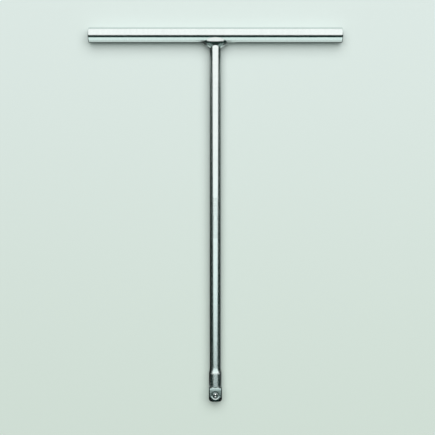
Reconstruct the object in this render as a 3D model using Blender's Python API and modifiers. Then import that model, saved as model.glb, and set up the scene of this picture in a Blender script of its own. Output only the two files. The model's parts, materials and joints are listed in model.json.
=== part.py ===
"""T-handle socket wrench with a male 3/8 in square drive and a ball detent.

The tool lies flat, as on a bench. The shaft runs along Y, the handle bar along X and +Z is up.
The origin is the centre of the drive's end face, so the shaft's axis is the Y axis and the
shaft and handle lie at +Y. The detent ball looks up, along +Z.

Units are metres; MM turns a length in millimetres into metres.
"""

import math

import bmesh
import bpy
from mathutils import Vector

MM = 0.001

# --- Driving dimensions -------------------------------------------------------------------
BAR_DIAMETER = 11.2 * MM
BAR_LENGTH = 184.0 * MM
BAR_AXIS_Y = 264.9 * MM  # from the drive's end face to the handle bar's axis
BAR_END_CHAMFER = 0.8 * MM

SHAFT_DIAMETER = 8.2 * MM

DRIVE_ACROSS_FLATS = 9.5 * MM
DRIVE_ACROSS_CORNERS = 12.4 * MM  # the blank's diameter, left on the square's corners
DRIVE_LENGTH = 10.1 * MM
TIP_FACE_DIAMETER = 8.2 * MM
TIP_CONE_ANGLE = math.radians(30)  # between the lead-in cone and the axis
SHOULDER_CONE_ANGLE = math.radians(75)

COLLAR_DIAMETER = 9.3 * MM
COLLAR_LENGTH = 10.2 * MM
COLLAR_CHAMFER = 0.2 * MM  # how much smaller the collar's radius is where it meets the square
COLLAR_CHAMFER_LENGTH = 0.7 * MM
FLARE_LENGTH = 4.3 * MM  # the concave run from the shaft's diameter up to the collar's

BALL_DIAMETER = 4.0 * MM
BALL_PROUD = 1.0 * MM  # how far the ball stands above its flat at rest
BALL_FROM_TIP = 4.7 * MM
BALL_HOLE_DIAMETER = 4.1 * MM
BALL_HOLE_FLOOR_Z = -3.2 * MM
PEENED_LIP_DIAMETER = 3.72 * MM  # the hole's mouth, smaller than the ball
PEENED_LIP_DEPTH = 0.6 * MM  # from the flat down to the hole's full diameter
DISH_RIM_DIAMETER = 5.9 * MM  # of the shallow dish that the peening punch leaves
DISH_FLOOR_DIAMETER = 5.0 * MM
DISH_DEPTH = 0.15 * MM

SPRING_OUTER_DIAMETER = 3.3 * MM
SPRING_WIRE_DIAMETER = 0.4 * MM
SPRING_OPEN_TURNS = 5
SPRING_CLOSED_TURNS = 1  # dead turns at each end

WELD_TOE_ON_BAR_X = 8.8 * MM  # half the bead's length along the bar
WELD_TOE_ON_BAR_ARC = 6.3 * MM  # half its width round the bar, measured over the surface
WELD_LEG_ON_SHAFT = 4.2 * MM
# Above and below the shaft the bead's face stands proud near the bar and then slopes down to
# the shaft. Both are shares of the distance from the face's middle to the root.
WELD_CROWN = 1.0
WELD_SLOPE = 0.3
WELD_SIDE_SHARE = 0.1  # how much of that shape is left at the shaft's left and right sides

JOINT_GAP = 0.05 * MM  # between pieces that are welded together, so that they don't overlap
SEAT_GAP = 0.03 * MM  # between the spring and what it sits on
CUTTER_MARGIN = 1.0 * MM  # how far a cutter stands out past the face that it cuts

# --- Fineness of the round shapes ---------------------------------------------------------
ROUND_STEPS = 96
HOLE_STEPS = 64
WELD_STEPS = 96
WELD_STEPS_ON_BAR = 4
WELD_STEPS_ON_FACE = 9
FLARE_STEPS = 8
BALL_SEGMENTS = 40
BALL_RINGS = 20
SPRING_POINTS_PER_TURN = 16
SPRING_BEVEL_RESOLUTION = 2
SHARP_ANGLE = math.radians(30)
MERGE_DISTANCE = 0.01 * MM

# --- Metals: colour, then roughness -------------------------------------------------------
SATIN_CHROME = (0.72, 0.75, 0.74), 0.22
WELD_CHROME = (0.68, 0.71, 0.70), 0.30
BEARING_STEEL = (0.66, 0.67, 0.68), 0.10
SPRING_STEEL = (0.35, 0.35, 0.36), 0.40

# --- Worked-out values --------------------------------------------------------------------
BAR_R = BAR_DIAMETER / 2
SHAFT_R = SHAFT_DIAMETER / 2
COLLAR_R = COLLAR_DIAMETER / 2
CORNER_R = DRIVE_ACROSS_CORNERS / 2
TIP_R = TIP_FACE_DIAMETER / 2
FLAT_Z = DRIVE_ACROSS_FLATS / 2
COLLAR_START_Y = DRIVE_LENGTH
FLARE_START_Y = COLLAR_START_Y + COLLAR_LENGTH
DRIVE_END_TOP_Y = FLARE_START_Y + FLARE_LENGTH
BALL_R = BALL_DIAMETER / 2
BALL_Z = FLAT_Z + BALL_PROUD - BALL_R


def clear_scene():
    """Removes every object of the open file."""
    for obj in list(bpy.data.objects):
        bpy.data.objects.remove(obj)


def new_collection(name):
    """An empty collection in the scene."""
    collection = bpy.data.collections.new(name)
    bpy.context.scene.collection.children.link(collection)
    return collection


def metal(name, colour, roughness):
    """A metallic Principled material."""
    material = bpy.data.materials.new(name)
    material.use_nodes = True
    shader = material.node_tree.nodes["Principled BSDF"]
    shader.inputs["Base Color"].default_value = (*colour, 1.0)
    shader.inputs["Metallic"].default_value = 1.0
    shader.inputs["Roughness"].default_value = roughness
    return material


def mesh_object(name, vertices, edges, faces, collection):
    """An object of these points, edges and faces."""
    mesh = bpy.data.meshes.new(name)
    mesh.from_pydata(vertices, edges, faces)
    obj = bpy.data.objects.new(name, mesh)
    collection.objects.link(obj)
    return obj


def turned(name, profile, collection, steps=ROUND_STEPS):
    """A solid turned about its local Z axis from (radius, z) points, listed from top to bottom."""
    vertices = [(radius, 0, z) for radius, z in profile]
    edges = [(i, i + 1) for i in range(len(profile) - 1)]
    obj = mesh_object(name, vertices, edges, [], collection)
    screw = obj.modifiers.new("turn", "SCREW")
    screw.steps = steps
    screw.render_steps = steps
    screw.use_merge_vertices = True
    screw.merge_threshold = MERGE_DISTANCE
    return obj


def boolean(obj, other, operation):
    """Adds a Boolean modifier: INTERSECT or DIFFERENCE with the other object."""
    modifier = obj.modifiers.new(f"{operation.lower()}_{other.name}", "BOOLEAN")
    modifier.operation = operation
    modifier.object = other
    modifier.solver = "EXACT"


def move_to(obj, collection):
    """Takes an object out of its collections and puts it in this one."""
    for owner in list(obj.users_collection):
        owner.objects.unlink(obj)
    collection.objects.link(obj)


def hide_cutter(obj):
    """Marks an object as a cutter, which isn't part of the tool."""
    obj.hide_render = True
    obj.display_type = "WIRE"
    return obj


def settle(obj):
    """Makes the evaluated shape the object's own mesh and shades it smooth between sharp edges."""
    bpy.context.view_layer.update()
    graph = bpy.context.evaluated_depsgraph_get()
    mesh = bpy.data.meshes.new_from_object(obj.evaluated_get(graph))
    obj.modifiers.clear()
    obj.data = mesh
    mesh.name = obj.name
    mesh.shade_smooth()
    mesh.set_sharp_from_angle(angle=SHARP_ANGLE)


def lay_along_y(obj):
    """Turns an object's local Z axis to +Y."""
    obj.rotation_euler = (-math.pi / 2, 0, 0)


def lay_along_x(obj):
    """Turns an object's local Z axis to +X."""
    obj.rotation_euler = (0, math.pi / 2, 0)


def build_handle_bar(collection):
    """A solid round bar with chamfered ends, centred across the top of the shaft."""
    half, chamfer = BAR_LENGTH / 2, BAR_END_CHAMFER
    profile = [
        (0, half),
        (BAR_R - chamfer, half),
        (BAR_R, half - chamfer),
        (BAR_R, -half + chamfer),
        (BAR_R - chamfer, -half),
        (0, -half),
    ]
    bar = turned("handle_bar", profile, collection)
    lay_along_x(bar)
    bar.location = (0, BAR_AXIS_Y, 0)
    settle(bar)
    return bar


def build_shaft(collection, cutters):
    """A round rod whose top end is coped to sit on the handle bar."""
    bottom = DRIVE_END_TOP_Y + JOINT_GAP
    profile = [(0, BAR_AXIS_Y), (SHAFT_R, BAR_AXIS_Y), (SHAFT_R, bottom), (0, bottom)]
    shaft = turned("shaft", profile, collection)
    lay_along_y(shaft)

    reach = SHAFT_R + CUTTER_MARGIN
    cope_r = BAR_R + JOINT_GAP
    cope_profile = [(0, reach), (cope_r, reach), (cope_r, -reach), (0, -reach)]
    cope = hide_cutter(turned("cope_cutter", cope_profile, cutters))
    lay_along_x(cope)
    cope.location = (0, BAR_AXIS_Y, 0)

    boolean(shaft, cope, "DIFFERENCE")
    settle(shaft)
    return shaft


def on_bar(x, arc, radius):
    """The point at x along the bar and arc round it, from the side that faces the shaft."""
    angle = arc / radius
    return Vector((x, BAR_AXIS_Y - radius * math.cos(angle), radius * math.sin(angle)))


def weld_section(angle):
    """One closed cross-section of the fillet, at this angle round the shaft."""
    shaft_r, bar_r = SHAFT_R + JOINT_GAP, BAR_R + JOINT_GAP
    x, z = shaft_r * math.cos(angle), shaft_r * math.sin(angle)
    root_arc = bar_r * math.asin(z / bar_r)
    toe_x = WELD_TOE_ON_BAR_X * math.cos(angle)
    toe_arc = WELD_TOE_ON_BAR_ARC * math.sin(angle)

    points = []
    for i in range(WELD_STEPS_ON_BAR + 1):
        t = i / WELD_STEPS_ON_BAR
        points.append(on_bar(x + t * (toe_x - x), root_arc + t * (toe_arc - root_arc), bar_r))

    root, toe = points[0], points[-1]
    shaft_toe = Vector((x, root.y - WELD_LEG_ON_SHAFT, z))
    share = WELD_SIDE_SHARE + (1 - WELD_SIDE_SHARE) * math.sin(angle) ** 2
    to_root = share * (root - (toe + shaft_toe) / 2)
    crown = toe.lerp(shaft_toe, 1 / 3) - WELD_CROWN * to_root
    slope = toe.lerp(shaft_toe, 2 / 3) - WELD_SLOPE * to_root
    for i in range(1, WELD_STEPS_ON_FACE + 1):
        t = i / WELD_STEPS_ON_FACE
        before = (1 - t) ** 3 * toe + 3 * t * (1 - t) ** 2 * crown
        points.append(before + 3 * t * t * (1 - t) * slope + t**3 * shaft_toe)
    return points


def build_weld_bead(collection):
    """The fillet weld all round the joint between the shaft and the bar, as a closed loft."""
    sections = [weld_section(2 * math.pi * i / WELD_STEPS) for i in range(WELD_STEPS)]
    count = len(sections[0])
    vertices = [point for section in sections for point in section]
    faces = []
    for i in range(WELD_STEPS):
        here, there = i * count, (i + 1) % WELD_STEPS * count
        for j in range(count):
            k = (j + 1) % count
            faces.append((here + j, there + j, there + k, here + k))
    bead = mesh_object("weld_bead", vertices, [], faces, collection)
    shell = bmesh.new()
    shell.from_mesh(bead.data)
    bmesh.ops.recalc_face_normals(shell, faces=shell.faces)
    shell.to_mesh(bead.data)
    shell.free()
    settle(bead)
    return bead


def flare_profile():
    """The concave arc from the collar's edge up to the shaft, tangent to the shaft."""
    rise = COLLAR_R - SHAFT_R
    radius = (FLARE_LENGTH**2 + rise**2) / (2 * rise)
    sweep = math.asin(FLARE_LENGTH / radius)
    profile = []
    for i in range(FLARE_STEPS + 1):
        angle = sweep * i / FLARE_STEPS
        profile.append(
            (SHAFT_R + radius * (1 - math.cos(angle)), DRIVE_END_TOP_Y - radius * math.sin(angle))
        )
    return profile


def detent_hole(cutters):
    """Cutter for the blind cross hole with its peened lip and the punch's dish round it."""
    hole_r, lip_r = BALL_HOLE_DIAMETER / 2, PEENED_LIP_DIAMETER / 2
    rim_r, dish_floor_r = DISH_RIM_DIAMETER / 2, DISH_FLOOR_DIAMETER / 2
    above = FLAT_Z + CUTTER_MARGIN
    profile = [
        (0, above),
        (rim_r, above),
        (rim_r, FLAT_Z),
        (dish_floor_r, FLAT_Z - DISH_DEPTH),
        (lip_r, FLAT_Z - DISH_DEPTH),
        (hole_r, FLAT_Z - PEENED_LIP_DEPTH),
        (hole_r, BALL_HOLE_FLOOR_Z),
        (0, BALL_HOLE_FLOOR_Z),
    ]
    hole = hide_cutter(turned("hole_cutter", profile, cutters, HOLE_STEPS))
    hole.location = (0, BALL_FROM_TIP, 0)
    return hole


def build_drive_end(collection, cutters):
    """The collar and the male square: one turned blank, squared on four sides and cross-drilled."""
    tip_cone = (CORNER_R - TIP_R) / math.tan(TIP_CONE_ANGLE)
    foot_r = COLLAR_R - COLLAR_CHAMFER
    shoulder_cone = (CORNER_R - foot_r) / math.tan(SHOULDER_CONE_ANGLE)
    profile = [(0, DRIVE_END_TOP_Y)]
    profile += flare_profile()
    profile += [
        (COLLAR_R, COLLAR_START_Y + COLLAR_CHAMFER_LENGTH),
        (foot_r, COLLAR_START_Y),
        (CORNER_R, COLLAR_START_Y - shoulder_cone),
        (CORNER_R, tip_cone),
        (TIP_R, 0),
        (0, 0),
    ]
    drive = turned("drive_end", profile, collection)
    lay_along_y(drive)

    bpy.ops.mesh.primitive_cube_add(size=1)
    square = hide_cutter(bpy.context.object)
    square.name = "square_cutter"
    square.scale = (DRIVE_ACROSS_FLATS, 2 * (DRIVE_END_TOP_Y + CUTTER_MARGIN), DRIVE_ACROSS_FLATS)
    move_to(square, cutters)

    boolean(drive, square, "INTERSECT")
    boolean(drive, detent_hole(cutters), "DIFFERENCE")
    settle(drive)
    return drive


def build_detent_ball(collection):
    """The ball, with its origin on the cross hole's axis."""
    bpy.ops.mesh.primitive_uv_sphere_add(
        segments=BALL_SEGMENTS, ring_count=BALL_RINGS, radius=BALL_R
    )
    ball = bpy.context.object
    ball.name = "detent_ball"
    ball.data.name = "detent_ball"
    ball.location = (0, BALL_FROM_TIP, BALL_Z)
    move_to(ball, collection)
    ball.data.shade_smooth()
    return ball


def spring_points():
    """Points along the spring's wire: a dead turn at each end and open turns between them."""
    coil_r = (SPRING_OUTER_DIAMETER - SPRING_WIRE_DIAMETER) / 2
    wire_r = SPRING_WIRE_DIAMETER / 2
    touch = math.sqrt((BALL_R + wire_r) ** 2 - coil_r**2)
    low = BALL_HOLE_FLOOR_Z + wire_r + SEAT_GAP
    high = BALL_Z - touch - SEAT_GAP
    dead_rise = SPRING_WIRE_DIAMETER + SEAT_GAP
    open_pitch = (high - low - 2 * dead_rise * SPRING_CLOSED_TURNS) / SPRING_OPEN_TURNS

    turns = SPRING_OPEN_TURNS + 2 * SPRING_CLOSED_TURNS
    points = []
    for i in range(turns * SPRING_POINTS_PER_TURN + 1):
        turn = i / SPRING_POINTS_PER_TURN
        from_low = min(turn, SPRING_CLOSED_TURNS)
        to_high = max(turn - SPRING_CLOSED_TURNS - SPRING_OPEN_TURNS, 0)
        opened = turn - from_low - to_high
        z = low + (from_low + to_high) * dead_rise + opened * open_pitch
        angle = 2 * math.pi * turn
        points.append((coil_r * math.cos(angle), BALL_FROM_TIP + coil_r * math.sin(angle), z))
    return points


def build_detent_spring(collection):
    """The compression spring under the ball, as a bevelled curve with closed ends."""
    curve = bpy.data.curves.new("detent_spring", "CURVE")
    curve.dimensions = "3D"
    curve.bevel_depth = SPRING_WIRE_DIAMETER / 2
    curve.bevel_resolution = SPRING_BEVEL_RESOLUTION
    curve.use_fill_caps = True
    points = spring_points()
    wire = curve.splines.new("POLY")
    wire.points.add(len(points) - 1)
    for point, place in zip(wire.points, points):
        point.co = (*place, 1)
    spring = bpy.data.objects.new("detent_spring", curve)
    collection.objects.link(spring)
    return spring


def main():
    clear_scene()
    parts = new_collection("t_handle_socket_wrench")
    cutters = new_collection("cutters")

    tool = bpy.data.objects.new("tool_frame", None)
    parts.objects.link(tool)
    pieces = [
        (build_handle_bar(parts), SATIN_CHROME),
        (build_shaft(parts, cutters), SATIN_CHROME),
        (build_weld_bead(parts), WELD_CHROME),
        (build_drive_end(parts, cutters), SATIN_CHROME),
        (build_detent_ball(parts), BEARING_STEEL),
        (build_detent_spring(parts), SPRING_STEEL),
    ]
    for obj, (colour, roughness) in pieces:
        obj.data.materials.clear()
        obj.data.materials.append(metal(f"{obj.name}_metal", colour, roughness))
        obj.parent = tool


main()
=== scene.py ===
"""The looks of a chrome T-handle socket wrench, lying on a pale sheet under soft studio light.

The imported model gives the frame. Its origin is the centre of the drive's end face, the shaft lies
along +Y, the handle bar along X and +Z is up. Units are metres; MM turns millimetres into metres.
"""

import json
import logging
import math
from dataclasses import dataclass, field, replace
from enum import Enum
from typing import Any, Callable

import bpy
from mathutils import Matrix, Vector

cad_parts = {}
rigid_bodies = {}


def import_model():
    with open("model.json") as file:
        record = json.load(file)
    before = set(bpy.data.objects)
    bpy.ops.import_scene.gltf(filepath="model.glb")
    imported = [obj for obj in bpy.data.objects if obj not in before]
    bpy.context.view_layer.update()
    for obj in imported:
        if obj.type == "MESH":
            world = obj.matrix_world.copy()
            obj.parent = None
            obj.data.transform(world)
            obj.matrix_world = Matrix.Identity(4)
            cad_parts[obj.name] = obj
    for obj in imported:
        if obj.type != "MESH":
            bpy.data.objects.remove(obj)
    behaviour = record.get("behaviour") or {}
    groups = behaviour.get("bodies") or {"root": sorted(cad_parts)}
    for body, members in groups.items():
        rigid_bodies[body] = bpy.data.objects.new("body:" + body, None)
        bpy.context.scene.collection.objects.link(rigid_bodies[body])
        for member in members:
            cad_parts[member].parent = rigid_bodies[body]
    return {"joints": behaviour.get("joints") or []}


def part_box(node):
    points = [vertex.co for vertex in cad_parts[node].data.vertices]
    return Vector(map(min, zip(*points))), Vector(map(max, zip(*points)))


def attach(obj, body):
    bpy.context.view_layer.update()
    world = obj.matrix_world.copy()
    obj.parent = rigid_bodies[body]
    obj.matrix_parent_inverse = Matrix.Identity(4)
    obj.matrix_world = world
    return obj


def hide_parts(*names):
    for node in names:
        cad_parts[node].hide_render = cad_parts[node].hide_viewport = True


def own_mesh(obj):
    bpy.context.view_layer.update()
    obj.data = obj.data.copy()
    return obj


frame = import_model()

log = logging.getLogger("t_handle")

MM = 0.001
TOLERANCE = 0.001 * MM  # two places closer than this are the same
Colour = tuple[float, float, float]
BLACK = (0.0, 0.0, 0.0)
MIX_FIRST, MIX_SECOND, MIX_RESULT = 6, 7, 2  # the Mix node's sockets for colours


class Axis(Enum):
    """An axis of the frame, as the index of its coordinate."""

    X = 0
    Y = 1
    Z = 2

    @property
    def vector(self) -> Vector:
        """The unit vector along this axis."""
        return Vector([1.0 if i == self.value else 0.0 for i in range(3)])


class Part(Enum):
    """What an edit selects."""

    VERTICES = "VERT"
    EDGES = "EDGE"
    FACES = "FACE"


class Keep(Enum):
    """What a cut leaves of a piece."""

    OUTSIDE = "DIFFERENCE"
    INSIDE = "INTERSECT"


# --- Shader maths ---


class Value:
    """A number that a node puts out, on which Python's arithmetic adds Math nodes."""

    def __init__(self, graph: "Graph", socket: bpy.types.NodeSocket) -> None:
        """Wraps one output socket of a graph."""
        self.graph = graph
        self.socket = socket

    def _math(self, operation: str, first: Any, second: Any = 0.0) -> "Value":
        """Adds one Math node.

        Args:
            operation: The Math node's operation.
            first: Its first value or number.
            second: Its second value or number.

        Returns:
            The result.
        """
        node = self.graph.node("ShaderNodeMath", {"operation": operation}, {0: first, 1: second})
        return Value(self.graph, node.outputs[0])

    def __add__(self, other: Any) -> "Value":
        """This plus other."""
        return self._math("ADD", self, other)

    def __radd__(self, other: Any) -> "Value":
        """Other plus this."""
        return self._math("ADD", other, self)

    def __sub__(self, other: Any) -> "Value":
        """This minus other."""
        return self._math("SUBTRACT", self, other)

    def __rsub__(self, other: Any) -> "Value":
        """Other minus this."""
        return self._math("SUBTRACT", other, self)

    def __mul__(self, other: Any) -> "Value":
        """This times other."""
        return self._math("MULTIPLY", self, other)

    def __rmul__(self, other: Any) -> "Value":
        """Other times this."""
        return self._math("MULTIPLY", other, self)

    def size(self) -> "Value":
        """This without its sign."""
        return self._math("ABSOLUTE", self)

    def largest(self, other: Any) -> "Value":
        """The larger of this and other."""
        return self._math("MAXIMUM", self, other)

    def ramp(self, low: float, high: float) -> "Value":
        """Goes smoothly from 0 at low to 1 at high.

        Args:
            low: Where the result is 0.
            high: Where the result is 1.

        Returns:
            A value from 0 to 1.
        """
        node = self.graph.node(
            "ShaderNodeMapRange",
            {"interpolation_type": "SMOOTHSTEP"},
            {"Value": self, "From Min": low, "From Max": high},
        )
        return Value(self.graph, node.outputs["Result"])


class Graph:
    """The nodes of a material or a world, built from Python."""

    def __init__(self, owner: bpy.types.Material | bpy.types.World) -> None:
        """Starts from no nodes.

        Args:
            owner: The new material or world.
        """
        owner.use_nodes = True
        self.owner = owner
        self.tree = owner.node_tree
        self.tree.nodes.clear()

    def node(
        self,
        kind: str,
        settings: dict[str, Any] | None = None,
        sockets: dict[Any, Any] | None = None,
    ) -> bpy.types.Node:
        """Adds any node.

        Args:
            kind: The node's type.
            settings: Its own settings, which are set first.
            sockets: What goes into its inputs: a number, a colour, a Value or another's output.

        Returns:
            The new node.
        """
        node = self.tree.nodes.new(kind)
        for key, setting in (settings or {}).items():
            setattr(node, key, setting)
        for key, given in (sockets or {}).items():
            given = given.socket if isinstance(given, Value) else given
            if isinstance(given, bpy.types.NodeSocket):
                self.tree.links.new(given, node.inputs[key])
            else:
                node.inputs[key].default_value = given
        return node

    def place(self, scale: Vector | None = None) -> bpy.types.NodeSocket:
        """The point on the piece, in metres.

        Args:
            scale: What each coordinate is multiplied by.

        Returns:
            The vector's socket.
        """
        place = self.node("ShaderNodeTexCoord").outputs["Object"]
        if scale is None:
            return place
        product = self.node("ShaderNodeVectorMath", {"operation": "MULTIPLY"}, {0: place, 1: scale})
        return product.outputs[0]

    def coordinates(self) -> list[Value]:
        """The point's X, Y and Z, each as a Value."""
        split = self.node("ShaderNodeSeparateXYZ", sockets={0: self.place()})
        return [Value(self, socket) for socket in split.outputs]

    def noise(self, scale: Vector, detail: float = 2.0, roughness: float = 0.5) -> Value:
        """Soft noise from 0 to 1.

        Args:
            scale: How many features there are to the metre along each axis.
            detail: How many finer layers it has.
            roughness: How strong the finer layers are.

        Returns:
            The noise.
        """
        node = self.node(
            "ShaderNodeTexNoise",
            sockets={"Vector": self.place(scale), "Scale": 1.0, "Detail": detail, "Roughness": roughness},
        )
        return Value(self, node.outputs["Fac"])

    def mix(self, factor: Any, first: Colour, second: Colour) -> bpy.types.NodeSocket:
        """A colour between two.

        Args:
            factor: 0 for the first and 1 for the second.
            first: The first colour.
            second: The second colour.

        Returns:
            The colour's socket.
        """
        colours = {MIX_FIRST: (*first, 1.0), MIX_SECOND: (*second, 1.0)}
        node = self.node("ShaderNodeMix", {"data_type": "RGBA"}, {0: factor, **colours})
        return node.outputs[MIX_RESULT]

    def bump(self, height: Value, distance: float) -> bpy.types.NodeSocket:
        """A surface raised by a height.

        Args:
            height: From 0 to 1.
            distance: How far the surface rises where the height is 1, in metres.

        Returns:
            The normal's socket.
        """
        node = self.node("ShaderNodeBump", sockets={"Height": height, "Distance": distance})
        return node.outputs["Normal"]

    def finish(self, shader: bpy.types.Node) -> bpy.types.Material:
        """Connects the last shader to a material's output and returns the material."""
        self.node("ShaderNodeOutputMaterial", sockets={"Surface": shader.outputs[0]})
        return self.owner


# --- Finishes ---


def evenly(scale: float) -> Vector:
    """A scale that is the same along every axis."""
    return Vector((scale, scale, scale))


@dataclass(frozen=True)
class GroundChrome:
    """Chrome over fine grinding marks that run round a bar.

    The marks spread a reflection along the bar and leave it sharp round the bar. How fine a
    pattern is, along the bar or across it, is a number of features to the metre.
    """

    name: str
    axis: Axis
    tint: Colour = (0.78, 0.83, 0.82)
    shade: Colour = (0.70, 0.755, 0.745)
    roughness: float = 0.24
    anisotropy: float = 0.5
    mark_depth: float = 0.004 * MM
    marks_along: float = 2600.0
    marks_across: float = 90.0
    coarser_along: float = 6.0
    coarser_across: float = 2.0
    fine_share: float = 0.6
    scratches_along: float = 60.0
    scratches_across: float = 5200.0
    scratch_range: tuple[float, float] = (0.68, 0.76)
    scratch_share: float = 0.12
    handling: float = 45.0
    handling_roughness: float = 0.08
    grinding_roughness: float = 0.05

    def material(self) -> bpy.types.Material:
        """Builds the material.

        Returns:
            The material.
        """
        graph = Graph(bpy.data.materials.new(self.name))
        along, across = self.marks_along, self.marks_across
        fine = graph.noise(self._stretched(along, across), detail=3.0, roughness=0.6)
        coarse = graph.noise(self._stretched(along / self.coarser_along, across / self.coarser_across))
        scratches = graph.noise(self._stretched(self.scratches_along, self.scratches_across))
        scratches = scratches.ramp(*self.scratch_range)
        handled = graph.noise(evenly(self.handling), detail=4.0, roughness=0.6)
        relief = self.fine_share * fine + (1 - self.fine_share) * coarse + self.scratch_share * scratches
        dulled = self.handling_roughness * (handled - 0.5) + self.grinding_roughness * (coarse - 0.5)
        shader = graph.node(
            "ShaderNodeBsdfPrincipled",
            sockets={
                "Base Color": graph.mix(0.5 * handled + 0.5 * coarse, self.tint, self.shade),
                "Metallic": 1.0,
                "Roughness": self.roughness + dulled,
                "Anisotropic": self.anisotropy,
                "Normal": graph.bump(relief, self.mark_depth),
            },
        )
        return graph.finish(shader)

    def _stretched(self, along: float, across: float) -> Vector:
        """A scale that differs along and across this finish's axis.

        Args:
            along: Features to the metre along the axis.
            across: Features to the metre across it.

        Returns:
            The scale for each coordinate.
        """
        return Vector([along if axis is self.axis else across for axis in Axis])


@dataclass(frozen=True)
class PlainChrome:
    """Chrome over a surface that wasn't ground: a weld, a milled flat or a polished ball."""

    name: str
    tint: Colour
    shade: Colour
    roughness: float
    grain: Vector
    grain_depth: float
    clouds: float = 160.0
    cloud_roughness: float = 0.08

    def material(self) -> bpy.types.Material:
        """Builds the material.

        Returns:
            The material.
        """
        graph = Graph(bpy.data.materials.new(self.name))
        grain = graph.noise(self.grain, detail=4.0, roughness=0.6)
        cloud = graph.noise(evenly(self.clouds), detail=3.0)
        shader = graph.node(
            "ShaderNodeBsdfPrincipled",
            sockets={
                "Base Color": graph.mix(0.5 * grain + 0.5 * cloud, self.tint, self.shade),
                "Metallic": 1.0,
                "Roughness": self.roughness + self.cloud_roughness * (cloud - 0.5),
                "Normal": graph.bump(grain, self.grain_depth),
            },
        )
        return graph.finish(shader)


@dataclass(frozen=True)
class PaleSheet:
    """The pale sheet under the tool, which is painted darker in the chrome than it looks from above.

    In the chrome it is painted dark, a painted dark reflection, apart from what the bar mirrors and
    what lies behind the bar, which keep the sheet's own brightness, and a strip beside the shaft and a
    patch round the drive, which are painted light.
    """

    name: str = "pale_sheet"
    # Painted shade: the sheet's colour is darker towards -Y, standing for the light that falls off away
    # from the lights at +Y.
    near: Colour = (0.70, 0.79, 0.725)
    far: Colour = (0.735, 0.81, 0.785)
    near_y: float = -60 * MM
    far_y: float = 330 * MM
    fibres: float = 900.0
    fibre_depth: float = 0.01 * MM
    # Painted dark reflection: the share of its brightness that the sheet keeps in the chrome, a little
    # more towards the bar.
    painted_dark_share: float = 0.02
    painted_dark_gain: float = 0.08
    painted_dark_from: float = 60 * MM
    painted_dark_to: float = 232 * MM
    blend: float = 2.5 * MM
    bar_face_y: float = 260 * MM
    bar_slant: float = 0.14
    weld_from: float = 9 * MM
    weld_to: float = 13 * MM
    behind_from: float = 262 * MM
    behind_to: float = 274 * MM
    # Painted light in the chrome: a strip beside the shaft and a patch round the drive.
    strip_share: float = 0.5
    strip_inner: float = 6 * MM
    strip_outer: float = 16 * MM
    drive_share: float = 0.5
    drive_outer: float = 30 * MM
    drive_y: float = 11 * MM

    def material(self) -> bpy.types.Material:
        """Builds the material.

        Returns:
            The material.
        """
        graph = Graph(bpy.data.materials.new(self.name))
        path = graph.node("ShaderNodeLightPath")
        x, y, _ = graph.coordinates()
        share = self._mirrored_share(x, y, Value(graph, path.outputs["Ray Length"]))
        fibres = graph.noise(evenly(self.fibres), detail=3.0)
        paper = graph.node(
            "ShaderNodeBsdfDiffuse",
            sockets={
                # painted shade: darker towards -Y
                "Color": graph.mix(y.ramp(self.near_y, self.far_y), self.near, self.far),
                "Normal": graph.bump(fibres, self.fibre_depth),
            },
        )
        # What glossy rays see: the sheet painted dark, a painted dark reflection, with painted light in
        # places.
        painted_reflection = graph.node(
            "ShaderNodeBsdfDiffuse",
            sockets={"Color": graph.mix(share, BLACK, self.far)},
        )
        both = graph.node(
            "ShaderNodeMixShader",
            sockets={0: path.outputs["Is Glossy Ray"], 1: paper.outputs[0], 2: painted_reflection.outputs[0]},
        )
        return graph.finish(both)

    def _mirrored_share(self, x: Value, y: Value, length: Value) -> Value:
        """How much of its brightness the sheet keeps in the chrome; the rest is painted dark.

        Args:
            x: Where the mirrored place lies across the shaft.
            y: Where it lies along the shaft.
            length: How far it is from the chrome that mirrors it.

        Returns:
            The share, from 0 to 1.
        """
        side = x.size()
        from_bar = (length - (self.bar_face_y - y)).size() - self.bar_slant * length
        in_bar = (1 - from_bar.ramp(0.0, self.blend)) * side.ramp(self.weld_from, self.weld_to)
        behind_bar = y.ramp(self.behind_from, self.behind_to)
        lit = in_bar.largest(behind_bar).largest(self._by_shaft(x, y)).largest(self._by_drive(side, y))
        # Painted dark reflection, a little less dark towards the bar.
        painted_dark = self.painted_dark_share + self.painted_dark_gain * y.ramp(self.painted_dark_from, self.painted_dark_to)
        return painted_dark + (1 - painted_dark) * lit

    def _past_tip(self, y: Value) -> Value:
        """Goes from 0 to 1 at the drive's end face."""
        return y.ramp(-self.blend / 2, self.blend / 2)

    def _by_shaft(self, x: Value, y: Value) -> Value:
        """The painted light strip, in the chrome, beside the shaft's right side.

        Args:
            x: Where the place lies across the shaft.
            y: Where it lies along the shaft.

        Returns:
            How much painted light it has, from 0 to 1.
        """
        inner = x.ramp(self.strip_inner - self.blend / 2, self.strip_inner + self.blend / 2)
        outer = 1 - x.ramp(self.strip_outer - self.blend, self.strip_outer)
        return self.strip_share * inner * outer * self._past_tip(y)

    def _by_drive(self, side: Value, y: Value) -> Value:
        """The painted light patch, in the chrome, on both sides of the drive and before its end face.

        Args:
            side: How far the place lies from the shaft's axis.
            y: Where it lies along the shaft.

        Returns:
            How much painted light it has, from 0 to 1.
        """
        clear = side.ramp(self.strip_inner - self.blend, self.strip_inner)
        beside = clear * self._past_tip(y) * (1 - side.ramp(self.drive_outer / 2, self.drive_outer))
        below_collar = 1 - y.ramp(self.drive_y - self.blend, self.drive_y)
        return self.drive_share * beside.largest(1 - clear) * below_collar


# --- Modelling ---


def deselect_all() -> None:
    """Leaves every object unselected."""
    for obj in bpy.data.objects:
        obj.select_set(False)


def make_active(obj: bpy.types.Object) -> None:
    """Selects one object alone, and makes it active.

    Args:
        obj: The object.
    """
    deselect_all()
    obj.select_set(True)
    bpy.context.view_layer.objects.active = obj


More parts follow.
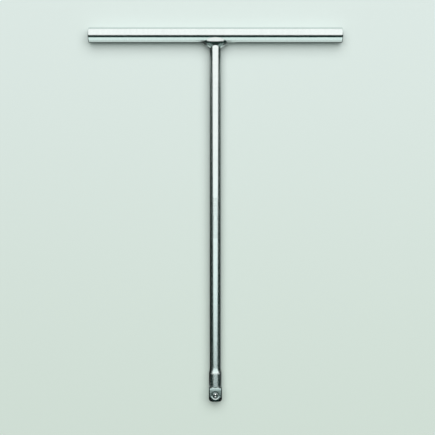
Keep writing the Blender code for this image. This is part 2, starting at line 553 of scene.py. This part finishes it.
def name_piece(name: str) -> bpy.types.Object:
    """Names the object that was just added, and its mesh.

    Args:
        name: The name.

    Returns:
        The object.
    """
    piece = bpy.context.object
    piece.name = name
    piece.data.name = name
    return piece


def settle_place(piece: bpy.types.Object) -> None:
    """Moves a piece's place, turn and size into its mesh."""
    make_active(piece)
    bpy.ops.object.transform_apply(location=True, rotation=True, scale=True)


def add_rod(
    name: str,
    axis: Axis,
    radius: float,
    start: Vector,
    length: float,
    sides: int,
) -> bpy.types.Object:
    """Adds a round rod along an axis.

    Args:
        name: The piece's name.
        axis: The axis that it lies along.
        radius: Its radius.
        start: The centre of the end that has the lower coordinate.
        length: Its length.
        sides: How many sides stand for the round.

    Returns:
        The rod, with its place in its mesh.
    """
    deselect_all()
    turns = {Axis.X: (0, math.pi / 2, 0), Axis.Y: (math.pi / 2, 0, 0), Axis.Z: (0, 0, 0)}
    bpy.ops.mesh.primitive_cylinder_add(
        vertices=sides,
        radius=radius,
        depth=length,
        location=start + axis.vector * length / 2,
        rotation=turns[axis],
    )
    rod = name_piece(name)
    settle_place(rod)
    return rod


def select(piece: bpy.types.Object, part: Part, test: Callable[..., bool]) -> None:
    """Opens a piece for editing with the parts that pass a test selected.

    Args:
        piece: The piece.
        part: Whether vertices, edges or faces are selected.
        test: Takes a vertex's place, an edge's two ends, or a face's centre and normal.
    """
    make_active(piece)
    bpy.ops.object.mode_set(mode="EDIT")
    bpy.ops.mesh.select_mode(type=part.value)
    bpy.ops.mesh.select_all(action="DESELECT")
    bpy.ops.object.mode_set(mode="OBJECT")
    mesh = piece.data
    if part is Part.VERTICES:
        for vertex in mesh.vertices:
            vertex.select = test(vertex.co)
    elif part is Part.EDGES:
        for edge in mesh.edges:
            edge.select = test(*(mesh.vertices[i].co for i in edge.vertices))
    else:
        for face in mesh.polygons:
            face.select = test(face.center, face.normal)
    bpy.ops.object.mode_set(mode="EDIT")


def open_edit(piece: bpy.types.Object) -> None:
    """Opens a piece for editing with all of it selected.

    Args:
        piece: The piece.
    """
    make_active(piece)
    bpy.ops.object.mode_set(mode="EDIT")
    bpy.ops.mesh.select_all(action="SELECT")


def close_edit() -> None:
    """Goes back to object mode."""
    bpy.ops.object.mode_set(mode="OBJECT")


def cut_across(piece: bpy.types.Object, axis: Axis, places: list[float]) -> None:
    """Cuts a piece into lengths that stay joined.

    Args:
        piece: The piece.
        axis: The axis that the cuts stand across.
        places: The coordinates of the cuts.
    """
    open_edit(piece)
    for place in places:
        bpy.ops.mesh.bisect(plane_co=axis.vector * place, plane_no=axis.vector)
        bpy.ops.mesh.select_all(action="SELECT")
    close_edit()


def turn_down(
    piece: bpy.types.Object,
    axis: Axis,
    radius: float,
    profile: list[tuple[float, float]],
) -> None:
    """Turns a rod down to a profile, as on a lathe.

    Args:
        piece: The rod, which has to be centred on its axis.
        axis: The rod's axis.
        radius: The rod's radius so far.
        profile: Each ring's coordinate along the axis, and the radius it is turned down to.
    """
    low = min(vertex.co[axis.value] for vertex in piece.data.vertices)
    high = max(vertex.co[axis.value] for vertex in piece.data.vertices)
    inner = [place for place, _ in profile if low + TOLERANCE < place < high - TOLERANCE]
    cut_across(piece, axis, inner)
    for place, turned_radius in profile:
        scale = turned_radius / radius
        select(piece, Part.VERTICES, lambda co: abs(co[axis.value] - place) < TOLERANCE)
        factors = tuple(1.0 if i == axis.value else scale for i in range(3))
        bpy.ops.transform.resize(value=factors)
        close_edit()


def carve(piece: bpy.types.Object, cutter: bpy.types.Object, keep: Keep) -> None:
    """Cuts a piece with another shape, which is then removed.

    Args:
        piece: The piece.
        cutter: The other shape.
        keep: Which part of the piece is left.
    """
    make_active(piece)
    modifier = piece.modifiers.new("carve", "BOOLEAN")
    modifier.operation = keep.value
    modifier.object = cutter
    modifier.solver = "EXACT"
    bpy.ops.object.modifier_apply(modifier=modifier.name)
    bpy.data.objects.remove(cutter)


def round_edges(piece: bpy.types.Object, width: float, segments: int, angle: float) -> None:
    """Rounds every edge sharper than an angle.

    Args:
        piece: The piece.
        width: How wide the rounding is.
        segments: How many steps it has.
        angle: The smallest angle between two faces that counts as an edge.
    """
    make_active(piece)
    modifier = piece.modifiers.new("round", "BEVEL")
    modifier.width = width
    modifier.segments = segments
    modifier.limit_method = "ANGLE"
    modifier.angle_limit = angle
    bpy.ops.object.modifier_apply(modifier=modifier.name)


def shade(piece: bpy.types.Object, angle: float = math.radians(30)) -> None:
    """Shades a piece smooth, and lets its flat faces keep their own normals.

    Args:
        piece: The piece.
        angle: The angle between two faces past which their edge stays sharp.
    """
    make_active(piece)
    bpy.ops.object.shade_smooth_by_angle(angle=angle)
    modifier = piece.modifiers.new("normals", "WEIGHTED_NORMAL")
    modifier.keep_sharp = True
    bpy.ops.object.modifier_apply(modifier=modifier.name)


def grind_along(piece: bpy.types.Object, axis: Axis) -> None:
    """Sets the direction in which a piece's grinding marks spread a reflection.

    The mesh's texture space is moved far off to one side of the axis, which turns the surface's
    own tangent to lie along it.

    Args:
        piece: The piece.
        axis: The axis along which reflections spread.
    """
    far_away = 1000.0
    side = {Axis.X: Axis.Y, Axis.Y: Axis.X}[axis]
    piece.data.use_auto_texspace = False
    piece.data.texspace_location = -far_away * side.vector
    piece.data.texspace_size = (1.0, 1.0, 1.0)


def hand_over(piece: bpy.types.Object, body: str, slot: str, *nodes: str) -> None:
    """Gives a finished piece its body, hides the nodes that it stands for, and reports it.

    Args:
        piece: The piece.
        body: The body that it moves with.
        slot: Not used.
        nodes: The nodes that it replaces.
    """
    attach(piece, body)
    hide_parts(*nodes)
    log.info("%s: %d faces, rides on %s", piece.name, len(piece.data.polygons), body)


# --- Sub-assemblies ---


@dataclass
class HandleBar:
    """The round cross bar with its rounded ends."""

    finish: GroundChrome
    sides: int = 192
    end_round: float = 0.9 * MM
    end_round_steps: int = 5
    facing_rim: float = 0.7 * MM
    facing_depth: float = 0.06 * MM
    square_on: float = 0.999
    low: Vector = field(default_factory=lambda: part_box("handle_bar")[0])
    high: Vector = field(default_factory=lambda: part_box("handle_bar")[1])

    @property
    def radius(self) -> float:
        """The bar's radius."""
        return (self.high.z - self.low.z) / 2

    @property
    def axis_y(self) -> float:
        """Where the bar's axis lies along the shaft."""
        return (self.high.y + self.low.y) / 2

    def build(self) -> bpy.types.Object:
        """Models the bar and dresses it.

        Returns:
            The bar.
        """
        length = self.high.x - self.low.x
        start = Vector((self.low.x, self.axis_y, 0.0))
        bar = add_rod("handle_bar_fine", Axis.X, self.radius, start, length, self.sides)
        rim = length / 2 - TOLERANCE
        select(bar, Part.EDGES, lambda a, b: abs(a.x + b.x) / 2 > rim)
        bpy.ops.mesh.bevel(offset=self.end_round, segments=self.end_round_steps, profile=0.5)
        close_edit()
        select(bar, Part.FACES, lambda centre, normal: abs(normal.x) > self.square_on)
        bpy.ops.mesh.inset(thickness=self.facing_rim, depth=-self.facing_depth)
        close_edit()
        shade(bar)
        grind_along(bar, Axis.X)
        bar.data.materials.append(self.finish.material())
        hand_over(bar, "wrench", "satin_chrome", "handle_bar")
        return bar


@dataclass
class Shaft:
    """The round shaft with a row of plain stamped dashes."""

    finish: GroundChrome
    bar: HandleBar
    sides: int = 128
    clearance: float = 0.05 * MM
    dash_start: float = 118 * MM
    dash_width: float = 2.6 * MM
    dash_depth: float = 0.24 * MM
    dash_wall: float = 0.17 * MM
    dash_lengths: tuple[float, ...] = (0.9 * MM,) * 7 + (3.6 * MM,) + (0.9 * MM,) * 7
    dash_gap: float = 0.9 * MM

    def build(self) -> bpy.types.Object:
        """Models the shaft and dresses it.

        Returns:
            The shaft.
        """
        low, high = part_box("shaft")
        radius = (high.z - low.z) / 2
        length = self.bar.axis_y - low.y
        shaft = add_rod("shaft_fine", Axis.Y, radius, Vector((0.0, low.y, 0.0)), length, self.sides)
        self._stamp(shaft)
        self._cope(shaft, radius)
        shade(shaft)
        grind_along(shaft, Axis.Y)
        shaft.data.materials.append(self.finish.material())
        hand_over(shaft, "wrench", "satin_chrome", "shaft")
        return shaft

    def _stamp(self, shaft: bpy.types.Object) -> None:
        """Presses the dashes into the top of the shaft.

        Args:
            shaft: The shaft.
        """
        spans = []
        start = self.dash_start
        for length in self.dash_lengths:
            spans.append((start, start + length))
            start += length + self.dash_gap
        cut_across(shaft, Axis.Y, [place for span in spans for place in span])

        def in_a_dash(centre: Vector, normal: Vector) -> bool:
            """Whether a face lies in one of the dashes."""
            on_top = normal.z > 0 and abs(centre.x) < self.dash_width / 2
            return on_top and any(first < centre.y < last for first, last in spans)

        select(shaft, Part.FACES, in_a_dash)
        bpy.ops.mesh.inset(thickness=self.dash_wall, depth=-self.dash_depth)
        close_edit()

    def _cope(self, shaft: bpy.types.Object, radius: float) -> None:
        """Cuts the shaft's top end to sit on the bar.

        Args:
            shaft: The shaft.
            radius: The shaft's radius.
        """
        reach = 2 * radius
        start = Vector((-reach, self.bar.axis_y, 0.0))
        cope_radius = self.bar.radius + self.clearance
        cutter = add_rod("cope", Axis.X, cope_radius, start, 2 * reach, self.sides)
        carve(shaft, cutter, Keep.OUTSIDE)


@dataclass
class WeldBead:
    """The rippled fillet weld all round the joint between the shaft and the bar."""

    finish: PlainChrome
    bar: HandleBar
    shaft_radius: float = 4.1 * MM
    clearance: float = 0.05 * MM
    leg_on_shaft: float = 4.2 * MM
    toe_x: float = 8.8 * MM
    toe_arc: float = 6.3 * MM
    crown: float = 1.0
    slope: float = 0.3
    side_share: float = 0.1
    sections: int = 288
    steps: int = 40
    ripples: int = 30
    ripple_height: float = 0.10 * MM
    ripple_lean: float = 0.6
    ripple_steepness: float = 0.8
    ripple_drift: float = 0.5
    drift_waves: int = 3
    over_bar: float = 0.2
    over_face: float = 0.65
    smooth_angle: float = math.radians(50)

    def build(self) -> bpy.types.Object:
        """Models the bead from a ring and dresses it.

        Returns:
            The bead.
        """
        deselect_all()
        bpy.ops.mesh.primitive_torus_add(
            location=(0.0, 0.0, 0.0),
            major_segments=self.sections,
            minor_segments=self.steps,
            major_radius=self.toe_x,
            minor_radius=self.shaft_radius / 2,
        )
        bead = name_piece("weld_bead_fine")
        for index, vertex in enumerate(bead.data.vertices):
            section, step = divmod(index, self.steps)
            vertex.co = self._point(math.tau * section / self.sections, step / self.steps)
        open_edit(bead)
        bpy.ops.mesh.normals_make_consistent(inside=False)
        close_edit()
        bpy.ops.object.shade_smooth_by_angle(angle=self.smooth_angle)
        bead.data.materials.append(self.finish.material())
        hand_over(bead, "wrench", "weld_chrome", "weld_bead")
        return bead

    def _on_bar(self, x: float, arc: float, radius: float) -> Vector:
        """A point on the bar.

        Args:
            x: How far along the bar it is.
            arc: How far round the bar it is, from the side that faces the shaft.
            radius: How far from the bar's axis it is.

        Returns:
            The point.
        """
        angle = arc / radius
        return Vector((x, self.bar.axis_y - radius * math.cos(angle), radius * math.sin(angle)))

    def _point(self, angle: float, share: float) -> Vector:
        """A point on the bead.

        Args:
            angle: The angle round the shaft.
            share: How far round the bead's section it is: first over the bar, then over the face
                and last down the shaft, back to the root.

        Returns:
            The point.
        """
        shaft_r = self.shaft_radius + self.clearance
        bar_r = self.bar.radius + self.clearance
        x, z = shaft_r * math.cos(angle), shaft_r * math.sin(angle)
        root_arc = bar_r * math.asin(z / bar_r)
        toe_x, toe_arc = self.toe_x * math.cos(angle), self.toe_arc * math.sin(angle)
        root, toe = self._on_bar(x, root_arc, bar_r), self._on_bar(toe_x, toe_arc, bar_r)
        shaft_toe = Vector((x, root.y - self.leg_on_shaft, z))
        if share < self.over_bar:
            t = share / self.over_bar
            return self._on_bar(x + t * (toe_x - x), root_arc + t * (toe_arc - root_arc), bar_r)
        down_shaft = self.over_bar + self.over_face
        if share > down_shaft:
            return shaft_toe.lerp(root, (share - down_shaft) / (1 - down_shaft))
        t = (share - self.over_bar) / self.over_face
        fullness = self.side_share + (1 - self.side_share) * math.sin(angle) ** 2
        to_root = fullness * (root - (toe + shaft_toe) / 2)
        crown = toe.lerp(shaft_toe, 1 / 3) - self.crown * to_root
        slope = toe.lerp(shaft_toe, 2 / 3) - self.slope * to_root
        near = (1 - t) ** 3 * toe + 3 * t * (1 - t) ** 2 * crown
        point = near + 3 * t * t * (1 - t) * slope + t**3 * shaft_toe
        return point + self._ripple(angle, t) * (point - root).normalized()

    def _ripple(self, angle: float, t: float) -> float:
        """How far a ripple stands out of the bead's face.

        Args:
            angle: The angle round the shaft.
            t: 0 at the toe on the bar and 1 at the toe on the shaft.

        Returns:
            The height.
        """
        bowed = angle * self.ripples + self.ripple_lean * math.pi * (2 * t - 1) ** 2
        steepened = bowed + self.ripple_steepness * math.sin(bowed)
        drifted = steepened + self.ripple_drift * math.sin(self.drift_waves * angle)
        crest = 0.5 + 0.5 * math.sin(drifted)
        return self.ripple_height * crest * math.sin(math.pi * t)


@dataclass
class DriveEnd:
    """The collar and the male square with its cross hole."""

    round_finish: GroundChrome
    flat_finish: PlainChrome
    sides: int = 192
    across_flats: float = 9.5 * MM
    corner_radius: float = 6.2 * MM
    drive_length: float = 10.1 * MM
    tip_radius: float = 4.1 * MM
    tip_cone: float = math.radians(30)
    shoulder_cone: float = math.radians(75)
    collar_radius: float = 4.65 * MM
    collar_length: float = 10.2 * MM
    flare_length: float = 4.3 * MM
    flare_steps: int = 10
    ring_mark_width: float = 0.30 * MM
    ring_mark_depth: float = 0.09 * MM
    shaft_radius: float = 4.1 * MM
    root_band: float = 1.9 * MM
    root_fall: float = 0.05 * MM
    ball_y: float = 4.7 * MM
    hole_radius: float = 2.05 * MM
    hole_floor_z: float = -3.2 * MM
    lip_radius: float = 1.86 * MM
    lip_depth: float = 0.6 * MM
    dish_rim: float = 2.95 * MM
    dish_floor: float = 2.5 * MM
    dish_depth: float = 0.15 * MM
    collar_chamfer: float = 0.2 * MM
    collar_chamfer_length: float = 0.7 * MM
    edge_round: float = 0.09 * MM
    edge_round_steps: int = 3
    edge_angle: float = math.radians(24)
    smooth_angle: float = math.radians(12.5)
    milled_past_square: float = 0.1 * MM
    hole_sides: int = 96

    def build(self) -> bpy.types.Object:
        """Models the drive end and dresses it.

        Returns:
            The drive end.
        """
        top = self.drive_length + self.collar_length + self.flare_length
        drive = add_rod("drive_end_fine", Axis.Y, self.corner_radius, Vector(), top, self.sides)
        turn_down(drive, Axis.Y, self.corner_radius, self._profile(top))
        carve(drive, self._square(top), Keep.INSIDE)
        carve(drive, self._hole(), Keep.OUTSIDE)
        carve(drive, self._dish(), Keep.OUTSIDE)
        round_edges(drive, self.edge_round, self.edge_round_steps, self.edge_angle)
        shade(drive, self.smooth_angle)
        grind_along(drive, Axis.Y)
        drive.data.materials.append(self.round_finish.material())
        drive.data.materials.append(self.flat_finish.material())
        milled_end = self.drive_length + self.milled_past_square
        for face in drive.data.polygons:
            face.material_index = int(face.center.y < milled_end)
        hand_over(drive, "wrench", "satin_chrome", "drive_end")
        return drive

    def _profile(self, top: float) -> list[tuple[float, float]]:
        """The turned blank's profile.

        Args:
            top: Where the drive end meets the shaft.

        Returns:
            Each ring's place along the shaft and its radius.
        """
        cone_end = (self.corner_radius - self.tip_radius) / math.tan(self.tip_cone)
        foot = self.collar_radius - self.collar_chamfer
        shoulder = self.drive_length - (self.corner_radius - foot) / math.tan(self.shoulder_cone)
        profile = [
            (0.0, self.tip_radius),
            (cone_end, self.corner_radius),
            (shoulder, self.corner_radius),
            (self.drive_length, foot),
            (self.drive_length + self.collar_chamfer_length, self.collar_radius),
        ]
        flare_end = top - self.flare_length
        profile.append((flare_end - self.ring_mark_width, self.collar_radius))
        profile.append((flare_end - self.ring_mark_width / 2, self.collar_radius - self.ring_mark_depth))
        rise = self.collar_radius - self.shaft_radius
        bow = (self.flare_length**2 + rise**2) / (2 * rise)
        sweep = math.asin(self.flare_length / bow)
        for i in range(self.flare_steps, -1, -1):
            angle = sweep * i / self.flare_steps
            profile.append((top - bow * math.sin(angle), self.shaft_radius + bow * (1 - math.cos(angle))))
        return profile

    def _square(self, top: float) -> bpy.types.Object:
        """The square prism that leaves the flats, which fall a little towards the collar.

        Args:
            top: Where the drive end meets the shaft.

        Returns:
            The prism.
        """
        deselect_all()
        bpy.ops.mesh.primitive_cube_add(size=1.0, location=(0.0, 0.0, 0.0))
        square = name_piece("square")
        past_both_ends = 3 * top
        square.scale = (self.across_flats, past_both_ends, self.across_flats)
        settle_place(square)
        cut_across(square, Axis.Y, [self.drive_length - self.root_band, self.drive_length])
        scale = 1 - 2 * self.root_fall / self.across_flats
        select(square, Part.VERTICES, lambda co: abs(co.y - self.drive_length) < TOLERANCE)
        bpy.ops.transform.resize(value=(scale, 1.0, scale))
        close_edit()
        return square

    def _hole(self) -> bpy.types.Object:
        """The blind cross hole, narrow at the peened lip.

        Returns:
            Its cutter.
        """
        flat_z = self.across_flats / 2
        above = 1 * MM
        start = Vector((0.0, 0.0, self.hole_floor_z))
        length = flat_z + above - self.hole_floor_z
        hole = add_rod("hole", Axis.Z, self.hole_radius, start, length, self.hole_sides)
        profile = [
            (flat_z - self.lip_depth, self.hole_radius),
            (flat_z - self.dish_depth, self.lip_radius),
            (flat_z + above, self.lip_radius),
        ]
        turn_down(hole, Axis.Z, self.hole_radius, profile)
        hole.location = (0.0, self.ball_y, 0.0)
        settle_place(hole)
        return hole

    def _dish(self) -> bpy.types.Object:
        """The shallow dish that the peening punch leaves round the hole's mouth.

        Returns:
            Its cutter.
        """
        flat_z = self.across_flats / 2
        start = Vector((0.0, 0.0, flat_z - self.dish_depth))
        dish = add_rod("dish", Axis.Z, self.dish_rim, start, 2 * self.dish_depth, self.hole_sides)
        turn_down(dish, Axis.Z, self.dish_rim, [(start.z, self.dish_floor), (flat_z, self.dish_rim)])
        dish.location = (0.0, self.ball_y, 0.0)
        settle_place(dish)
        return dish


@dataclass
class Detent:
    """The sprung ball in the drive's cross hole."""

    ball_finish: PlainChrome
    wire_finish: PlainChrome
    joint: str = "detent_press"
    ball_cuts: int = 31
    wire_radius: float = 0.2 * MM
    wire_sides: int = 16
    steps_per_turn: int = 48
    open_turns: float = 5.0
    dead_turns: float = 1.0
    dead_pitch: float = 1.05  # in wire diameters

    def build(self) -> list[bpy.types.Object]:
        """Models the ball and the spring and dresses them."""
        return [self._ball(), self._spring()]

    def _ball(self) -> bpy.types.Object:
        """Models the ball from a cube, so that its faces are even and four-sided.

        Returns:
            The ball.
        """
        low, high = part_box("detent_ball")
        radius = (high.z - low.z) / 2
        deselect_all()
        bpy.ops.mesh.primitive_cube_add(size=2 * radius, location=(low + high) / 2)
        ball = name_piece("detent_ball_fine")
        open_edit(ball)
        bpy.ops.mesh.subdivide(number_cuts=self.ball_cuts)
        close_edit()
        cast = ball.modifiers.new("ball", "CAST")
        cast.cast_type = "SPHERE"
        cast.factor = 1.0
        cast.size = radius
        cast.use_radius_as_size = False
        bpy.ops.object.modifier_apply(modifier=cast.name)
        bpy.ops.object.shade_smooth()
        settle_place(ball)
        ball.data.materials.append(self.ball_finish.material())
        hand_over(ball, "ball", "bearing_steel", "detent_ball")
        return ball

    def _spring(self) -> bpy.types.Object:
        """Models the spring.

        Returns:
            The spring.
        """
        low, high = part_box("detent_spring")
        centre = (low + high) / 2
        coil_radius = (high.x - low.x) / 2 - self.wire_radius
        height = high.z - low.z - 2 * self.wire_radius
        turns = self.open_turns + 2 * self.dead_turns
        deselect_all()
        bpy.ops.mesh.primitive_circle_add(
            vertices=self.wire_sides,
            radius=self.wire_radius,
            location=(coil_radius, 0.0, 0.0),
            rotation=(math.pi / 2, 0.0, 0.0),
        )
        spring = name_piece("detent_spring_fine")
        settle_place(spring)
        screw = spring.modifiers.new("coil", "SCREW")
        screw.angle = math.tau * turns
        screw.screw_offset = height
        screw.steps = screw.render_steps = round(self.steps_per_turn * turns)
        screw.use_smooth_shade = True
        bpy.ops.object.modifier_apply(modifier=screw.name)
        self._close_ends(spring, height, turns)
        open_edit(spring)
        bpy.ops.mesh.remove_doubles(threshold=TOLERANCE)
        bpy.ops.mesh.select_all(action="DESELECT")
        bpy.ops.mesh.select_non_manifold(extend=False)
        bpy.ops.mesh.edge_face_add()
        bpy.ops.mesh.select_all(action="SELECT")
        bpy.ops.mesh.normals_make_consistent(inside=False)
        close_edit()
        spring.location = (centre.x, centre.y, low.z + self.wire_radius)
        settle_place(spring)
        spring.data.materials.append(self.wire_finish.material())
        hand_over(spring, "wrench", "spring_steel", "detent_spring")
        travel = next(j for j in frame["joints"] if j["name"] == self.joint)["range_m"][1]
        keep = 1 - travel / (high.z - low.z)
        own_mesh(spring)
        return spring

    def _close_ends(self, spring: bpy.types.Object, height: float, turns: float) -> None:
        """Lays the first and the last turn flat against the next one.

        Args:
            spring: The spring, whose turns are evenly spaced.
            height: The rise of the wire's middle.
            turns: How many turns it has.
        """
        pitch = height / turns
        dead_rise = self.dead_pitch * 2 * self.wire_radius
        open_pitch = (height - 2 * self.dead_turns * dead_rise) / self.open_turns
        for vertex in spring.data.vertices:
            angle = math.atan2(vertex.co.y, vertex.co.x) % math.tau / math.tau
            turn = angle + round(vertex.co.z / pitch - angle)
            turn = min(max(turn, 0.0), turns)
            from_low = min(turn, self.dead_turns)
            to_high = max(turn - self.dead_turns - self.open_turns, 0.0)
            opened = turn - from_low - to_high
            vertex.co.z += (from_low + to_high) * dead_rise + opened * open_pitch - turn * pitch


# --- Studio ---


class Job(Enum):
    """What a studio panel does."""

    MIRRORED = "shows in the chrome"
    LIGHTING = "lights the sheet"


@dataclass(frozen=True)
class Panel:
    """A soft light that slopes from one long edge to another, made of strips that lie along X."""

    name: str
    colour: Colour
    radiance: float
    near: tuple[float, float]  # Y and Z of one long edge
    far: tuple[float, float]  # Y and Z of the other
    near_width: float
    far_width: float
    strips: int = 5
    centre_x: float = 0.0
    job: Job = Job.MIRRORED
    only_for: tuple[str, ...] = ()

    def build(self) -> None:
        """Adds the strips, which the camera doesn't see."""
        lit = self._receivers()
        (near_y, near_z), (far_y, far_z) = self.near, self.far
        towards = math.copysign(1.0, far_y - near_y)
        slope = math.atan2(towards * (far_z - near_z), towards * (far_y - near_y))
        depth = math.hypot(far_y - near_y, far_z - near_z) / self.strips
        for i in range(self.strips):
            share = (i + 0.5) / self.strips
            light = bpy.data.lights.new(f"{self.name}_{i}", "AREA")
            light.shape = "RECTANGLE"
            light.size = self.near_width + share * (self.far_width - self.near_width)
            light.size_y = depth
            light.color = self.colour
            light.energy = self.radiance * math.pi * light.size * light.size_y
            strip = bpy.data.objects.new(light.name, light)
            strip.location = (
                self.centre_x,
                near_y + share * (far_y - near_y),
                near_z + share * (far_z - near_z),
            )
            strip.rotation_euler = (slope, 0.0, 0.0)
            strip.visible_camera = False
            strip.visible_glossy = self.job is Job.MIRRORED
            strip.visible_diffuse = self.job is Job.LIGHTING
            strip.light_linking.receiver_collection = lit
            bpy.context.scene.collection.objects.link(strip)

    def _receivers(self) -> bpy.types.Collection | None:
        """Collects the pieces that the panel lights.

        Returns:
            Their collection, or None where it lights everything.
        """
        if not self.only_for:
            return None
        lit = bpy.data.collections.new(f"lit_by_{self.name}")
        for name in self.only_for:
            lit.objects.link(bpy.data.objects[name])
        return lit


@dataclass
class Studio:
    """The pale sheet, the lights and the camera over the tool."""

    sheet: PaleSheet
    panels: tuple[Panel, ...]
    floor_size: float = 4.0
    camera_x: float = 1.5 * MM
    camera_y: float = 132.75 * MM
    camera_height: float = 720 * MM
    view_width: float = 315.0 * MM
    sensor_width: float = 36.0  # in millimetres, which Blender takes
    surroundings: Colour = (0.006, 0.022, 0.018)
    ambient: Colour = (0.20, 0.22, 0.21)
    backdrop: Colour = (0.60, 0.70, 0.66)

    def build(self) -> None:
        """Adds everything and sets the scene's camera and world."""
        self._floor()
        for panel in self.panels:
            panel.build()
        self._world()
        self._camera()
        bpy.context.scene.view_settings.view_transform = "Standard"

    def _floor(self) -> None:
        """Lays the sheet so that the bar and the square's lower flat both touch it."""
        bar_low, bar_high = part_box("handle_bar")
        drive_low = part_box("drive_end")[0]
        bar_y = (bar_low.y + bar_high.y) / 2
        slope = math.atan2(bar_low.z - drive_low.z, bar_y)
        deselect_all()
        bpy.ops.mesh.primitive_plane_add(
            size=self.floor_size, location=(0.0, 0.0, drive_low.z), rotation=(slope, 0.0, 0.0)
        )
        floor = name_piece("floor")
        settle_place(floor)
        floor.data.materials.append(self.sheet.material())

    def _world(self) -> None:
        """Makes the room dark in the chrome, soft on the sheet and pale behind it."""
        graph = Graph(bpy.data.worlds.new("studio"))
        path = graph.node("ShaderNodeLightPath")
        room = graph.mix(path.outputs["Is Glossy Ray"], self.ambient, self.surroundings)
        colours = {MIX_FIRST: room, MIX_SECOND: (*self.backdrop, 1.0)}
        sockets = {0: path.outputs["Is Camera Ray"], **colours}
        seen = graph.node("ShaderNodeMix", {"data_type": "RGBA"}, sockets)
        background = graph.node("ShaderNodeBackground", sockets={"Color": seen.outputs[MIX_RESULT]})
        graph.node("ShaderNodeOutputWorld", sockets={"Surface": background.outputs[0]})
        bpy.context.scene.world = graph.owner

    def _camera(self) -> None:
        """Hangs the camera straight over the tool, with the handle bar at the top."""
        data = bpy.data.cameras.new("camera")
        data.sensor_width = self.sensor_width
        data.lens = self.sensor_width * self.camera_height / self.view_width
        camera = bpy.data.objects.new("camera", data)
        camera.location = (self.camera_x, self.camera_y, self.camera_height)
        bpy.context.scene.collection.objects.link(camera)
        bpy.context.scene.camera = camera


BAR_CHROME = GroundChrome("ground_chrome_bar", Axis.X, roughness=0.18)
SHAFT_CHROME = GroundChrome("ground_chrome_shaft", Axis.Y)
COLLAR_CHROME = GroundChrome("ground_chrome_collar", Axis.Y, mark_depth=0.0015 * MM)
WELD_CHROME = PlainChrome(
    name="weld_chrome",
    tint=(0.74, 0.79, 0.78),
    shade=(0.60, 0.66, 0.65),
    roughness=0.16,
    grain=evenly(1400.0),
    grain_depth=0.012 * MM,
)
MILLED_CHROME = PlainChrome(
    name="milled_chrome",
    tint=(0.72, 0.79, 0.78),
    shade=(0.62, 0.69, 0.68),
    roughness=0.15,
    grain=Vector((300.0, 3600.0, 300.0)),
    grain_depth=0.002 * MM,
)
BALL_STEEL = PlainChrome(
    name="ball_steel",
    tint=(0.80, 0.82, 0.83),
    shade=(0.74, 0.76, 0.77),
    roughness=0.06,
    grain=evenly(1400.0),
    grain_depth=0.0005 * MM,
    cloud_roughness=0.04,
)
WIRE_STEEL = PlainChrome(
    name="wire_steel",
    tint=(0.42, 0.42, 0.43),
    shade=(0.26, 0.26, 0.27),
    roughness=0.38,
    grain=evenly(2500.0),
    grain_depth=0.004 * MM,
)

SOFTBOX = Panel(
    name="softbox",
    colour=(1.0, 1.0, 0.99),
    radiance=1.17,
    near=(0.135, 0.720),
    far=(1.60, 0.0),
    near_width=1.75,
    far_width=3.2,
    only_for=("handle_bar_fine", "shaft_fine", "weld_bead_fine"),
)
DRIVE_SOFTBOX = replace(
    SOFTBOX,
    name="drive_softbox",
    colour=(0.97, 1.0, 0.99),
    radiance=1.22,
    near_width=1.6,
    far_width=8.0,
    only_for=("drive_end_fine",),
)
BALL_SOFTBOX = Panel(
    name="ball_softbox",
    colour=(1.0, 1.0, 0.99),
    radiance=1.9,
    near=(0.32, 0.720),
    far=(1.20, 0.50),
    near_width=0.7,
    far_width=1.0,
    only_for=("detent_ball_fine",),
)
OVERHEAD_CARD = Panel(
    name="overhead_card",
    colour=(0.87, 1.0, 0.985),
    radiance=1.2,
    near=(0.135, 0.720),
    far=(-0.090, 0.720),
    near_width=1.75,
    far_width=1.0,
    only_for=("shaft_fine", "drive_end_fine"),
)
FRONT_BOARD = Panel(
    name="front_board",
    colour=(0.86, 1.0, 0.97),
    radiance=1.0,
    near=(-0.47, 0.720),
    far=(-1.20, 0.0),
    near_width=1.8,
    far_width=3.6,
    only_for=("handle_bar_fine", "shaft_fine"),
)
WELD_BOARD = replace(
    FRONT_BOARD,
    name="weld_board",
    colour=(0.80, 1.0, 0.95),
    radiance=0.30,
    only_for=("weld_bead_fine",),
)
BALL_CARD = Panel(
    name="ball_card",
    colour=(0.93, 1.0, 0.98),
    radiance=1.35,
    near=(-0.40, 0.720),
    far=(-0.90, 0.40),
    near_width=0.7,
    far_width=0.8,
    only_for=("detent_ball_fine",),
)
KEY = Panel(
    name="key",
    colour=(0.99, 1.0, 0.995),
    radiance=2.42,
    near=(0.0, 3.0),
    far=(4.60, 3.0),
    near_width=5.2,
    far_width=5.2,
    strips=1,
    centre_x=0.45,
    job=Job.LIGHTING,
)
MIRRORED_PANELS = (SOFTBOX, DRIVE_SOFTBOX, BALL_SOFTBOX, OVERHEAD_CARD, FRONT_BOARD, WELD_BOARD, BALL_CARD)


def main() -> None:
    """Builds every piece in order, then the studio."""
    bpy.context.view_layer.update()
    bar = HandleBar(BAR_CHROME)
    bar.build()
    Shaft(SHAFT_CHROME, bar).build()
    WeldBead(WELD_CHROME, bar).build()
    DriveEnd(COLLAR_CHROME, MILLED_CHROME).build()
    Detent(BALL_STEEL, WIRE_STEEL).build()
    Studio(PaleSheet(), (*MIRRORED_PANELS, KEY)).build()


if __name__ == "__main__":
    logging.basicConfig(level=logging.INFO, format="%(name)s: %(message)s")
    main()
